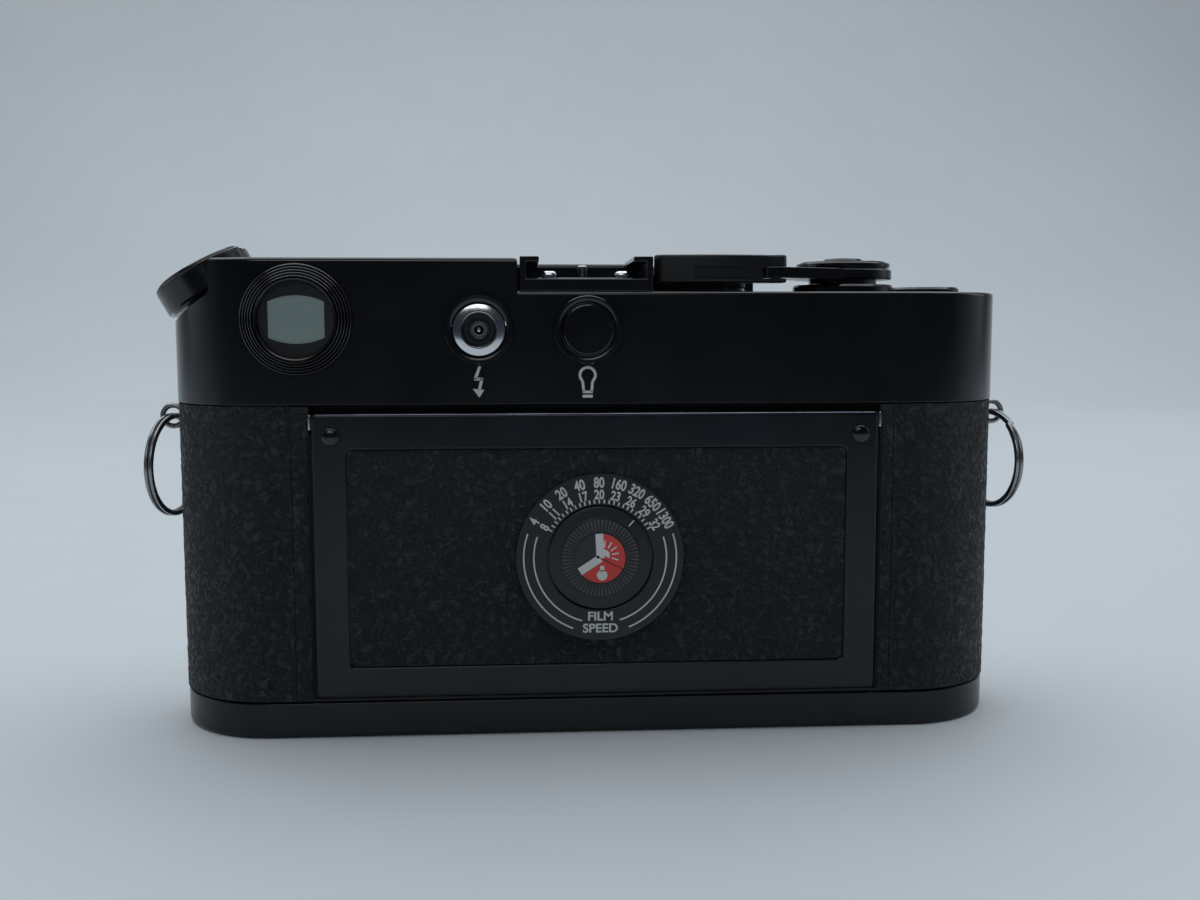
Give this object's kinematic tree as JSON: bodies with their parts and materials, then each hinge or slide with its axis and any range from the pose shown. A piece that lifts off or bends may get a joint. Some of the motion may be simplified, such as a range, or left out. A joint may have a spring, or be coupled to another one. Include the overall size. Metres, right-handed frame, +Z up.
{
  "type": "rangefinder camera",
  "caption": "Rangefinder film camera with round-ended body, hinged back flap, tilted rewind crank, thumb advance lever, accessory shoe and removable lens and base plate.",
  "frame": {"origin": "on the base plate's underside, below the middle of the body's width and depth", "axes": "+X to the rewind side, the picture's left, -Y to the lens, +Z up"},
  "size_m": [0.1468, 0.0617, 0.0793],
  "materials": {
    "black_paint": "gloss",
    "black_alloy": "matte",
    "covering": "matte",
    "chrome": "polished",
    "lens_metal": "satin",
    "steel": "satin",
    "brass": "satin",
    "glass": "polished",
    "frosted": "satin",
    "black_plastic": "satin",
    "curtain_cloth": "matte",
    "dial_print": "satin"
  },
  "bodies": {
    "camera": {"body_shell": "black_alloy", "body_cover": "covering", "chassis": "black_alloy", "shutter_curtain": "curtain_cloth", "top_plate": "black_paint", "viewfinder_window": "glass", "illumination_window": "frosted", "rangefinder_window": "glass", "finder_prism": "glass", "eyepiece_ring": "black_plastic", "eyepiece_lens": "glass", "sync_ring_x": "black_paint", "sync_contact_x": "chrome", "sync_socket_bulb": "black_paint", "accessory_shoe": "black_paint", "shoe_spring": "chrome", "advance_collar": "black_paint", "counter_bezel": "chrome", "strap_lug_l": "chrome", "strap_lug_r": "chrome", "hinge_pin_l": "steel", "hinge_pin_r": "steel", "mount_flange": "chrome"},
    "spool": {"take_up_spool": "steel"},
    "sprocket": {"sprocket_roller": "steel"},
    "fork": {"rewind_fork": "steel"},
    "cap": {"sync_cap": "black_plastic"},
    "lever": {"advance_lever": "black_paint"},
    "tip": {"lever_tip": "black_plastic"},
    "release": {"release_button": "black_paint"},
    "speed": {"speed_dial": "black_paint"},
    "counter": {"counter_disc": "dial_print"},
    "knob": {"rewind_knob": "black_paint"},
    "crank": {"rewind_crank": "chrome"},
    "peg": {"crank_peg": "black_plastic"},
    "ring_l": {"strap_ring_l": "steel"},
    "ring_r": {"strap_ring_r": "steel"},
    "flap": {"back_flap": "black_paint", "flap_cover": "covering", "flap_rivet_l": "steel", "flap_rivet_r": "steel", "pressure_plate": "black_alloy", "pressure_spring": "steel", "dial_plate": "dial_print"},
    "film_disc": {"film_speed_disc": "dial_print"},
    "base": {"base_plate": "black_paint", "tripod_bush": "brass"},
    "key": {"base_key": "chrome"},
    "bail": {"key_handle": "chrome"},
    "lens": {"lens_barrel": "lens_metal"},
    "focus": {"focus_ring": "lens_metal"},
    "head": {"lens_head": "lens_metal", "front_glass": "glass", "iris_diaphragm": "black_alloy"},
    "aperture": {"aperture_ring": "lens_metal"},
    "timer": {"self_timer_lever": "chrome"},
    "rewind_lever": {"rewind_selector": "chrome"},
    "frame_lever": {"frame_selector": "chrome"},
    "lens_lock": {"lens_release_button": "chrome"}
  },
  "joints": [
    {"name": "advance_lever_turn", "type": "hinge", "parent": "camera", "child": "lever", "pos_m": [-0.043, 0.002, 0.0744], "axis": [0, 0, 1], "range_deg": [0, 135]},
    {"name": "lever_tip_fold", "type": "hinge", "parent": "lever", "child": "tip", "pos_m": [-0.0295, 0.0116, 0.075], "axis": [0, 0, 1], "range_deg": [0, 25]},
    {"name": "release_press", "type": "slide", "parent": "camera", "child": "release", "axis": [0, 0, -1], "range_m": [0, 0.0015], "stiffness_N_per_m": 1500},
    {"name": "speed_dial_turn", "type": "hinge", "parent": "camera", "child": "speed", "pos_m": [-0.018, -0.0015, 0.073], "axis": [0, 0, 1], "range_deg": [0, 300]},
    {"name": "counter_turn", "type": "hinge", "parent": "camera", "child": "counter", "pos_m": [-0.0582, -0.0015, 0.0706], "axis": [0, 0, 1], "range_deg": [0, 9]},
    {"name": "spool_turn", "type": "hinge", "parent": "camera", "child": "spool", "pos_m": [-0.052, 0.0005, 0.03], "axis": [0, 0, 1], "range_deg": [0, 270]},
    {"name": "sprocket_turn", "type": "hinge", "parent": "camera", "child": "sprocket", "pos_m": [-0.0362, 0.0035, 0.03], "axis": [0, 0, 1], "range_deg": [0, 360]},
    {"name": "rewind_knob_turn", "type": "hinge", "parent": "camera", "child": "knob", "pos_m": [0.06275, 0, 0.071], "axis": [0.5, 0, 0.866], "continuous": true},
    {"name": "fork_turn", "type": "hinge", "parent": "camera", "child": "fork", "pos_m": [0.051, 0.0005, 0.05], "axis": [0, 0, 1], "continuous": true},
    {"name": "crank_fold", "type": "hinge", "parent": "knob", "child": "crank", "pos_m": [0.06018, 0, 0.07814], "axis": [0, -1, 0], "range_deg": [0, 170]},
    {"name": "peg_turn", "type": "hinge", "parent": "crank", "child": "peg", "pos_m": [0.06823, 0, 0.0713], "axis": [0.5, 0, 0.866], "continuous": true},
    {"name": "flap_open", "type": "hinge", "parent": "camera", "child": "flap", "pos_m": [0, 0.0157, 0.051], "axis": [1, 0, 0], "range_deg": [0, 95]},
    {"name": "film_disc_turn", "type": "hinge", "parent": "flap", "child": "film_disc", "pos_m": [-0.00046, 0.0176, 0.0291], "axis": [0, 1, 0], "range_deg": [-120, 120]},
    {"name": "base_plate_off", "type": "slide", "parent": "camera", "child": "base", "axis": [0, 0, -1], "range_m": [0, 0.008]},
    {"name": "key_turn", "type": "hinge", "parent": "base", "child": "key", "pos_m": [0.05, 0, 0.0018], "axis": [0, 0, 1], "range_deg": [0, 180]},
    {"name": "key_handle_fold", "type": "hinge", "parent": "key", "child": "bail", "pos_m": [0.05, 0, 0.00072], "axis": [0, 1, 0], "range_deg": [0, 90]},
    {"name": "cap_pull", "type": "slide", "parent": "camera", "child": "cap", "axis": [0, 1, 0], "range_m": [0, 0.006]},
    {"name": "ring_l_swing", "type": "hinge", "parent": "camera", "child": "ring_l", "pos_m": [0.07055, 0, 0.0509], "axis": [0, -1, 0], "range_deg": [0, 60]},
    {"name": "ring_r_swing", "type": "hinge", "parent": "camera", "child": "ring_r", "pos_m": [-0.07055, 0, 0.0509], "axis": [0, 1, 0], "range_deg": [0, 60]},
    {"name": "lens_off", "type": "slide", "parent": "camera", "child": "lens", "axis": [0, -1, 0], "range_m": [0, 0.012]},
    {"name": "focus_turn", "type": "hinge", "parent": "lens", "child": "focus", "pos_m": [0, -0.024, 0.0295], "axis": [0, 1, 0], "range_deg": [0, 90]},
    {"name": "head_slide", "type": "slide", "parent": "lens", "child": "head", "axis": [0, -1, 0], "range_m": [0, 0.003]},
    {"name": "aperture_turn", "type": "hinge", "parent": "head", "child": "aperture", "pos_m": [0, -0.03, 0.0295], "axis": [0, 1, 0], "range_deg": [-60, 60]},
    {"name": "timer_turn", "type": "hinge", "parent": "camera", "child": "timer", "pos_m": [-0.034, -0.018, 0.036], "axis": [0, 1, 0], "range_deg": [0, 150]},
    {"name": "rewind_lever_turn", "type": "hinge", "parent": "camera", "child": "rewind_lever", "pos_m": [-0.0465, -0.0175, 0.0465], "axis": [0, 1, 0], "range_deg": [0, 35]},
    {"name": "frame_lever_turn", "type": "hinge", "parent": "camera", "child": "frame_lever", "pos_m": [0.0295, -0.0175, 0.0405], "axis": [0, 1, 0], "range_deg": [-25, 10], "stiffness_Nm_per_rad": 0.02},
    {"name": "lens_lock_press", "type": "slide", "parent": "camera", "child": "lens_lock", "axis": [0, 1, 0], "range_m": [0, 0.0012], "stiffness_N_per_m": 800}
  ],
  "couplings": [
    {"joint": "counter_turn", "follows": "advance_lever_turn", "ratio": 0.066667},
    {"joint": "spool_turn", "follows": "advance_lever_turn", "ratio": 2},
    {"joint": "sprocket_turn", "follows": "advance_lever_turn", "ratio": 2.6666},
    {"joint": "fork_turn", "follows": "rewind_knob_turn", "ratio": 1},
    {"joint": "head_slide", "follows": "focus_turn", "m_per_rad": 0.0019}
  ]
}
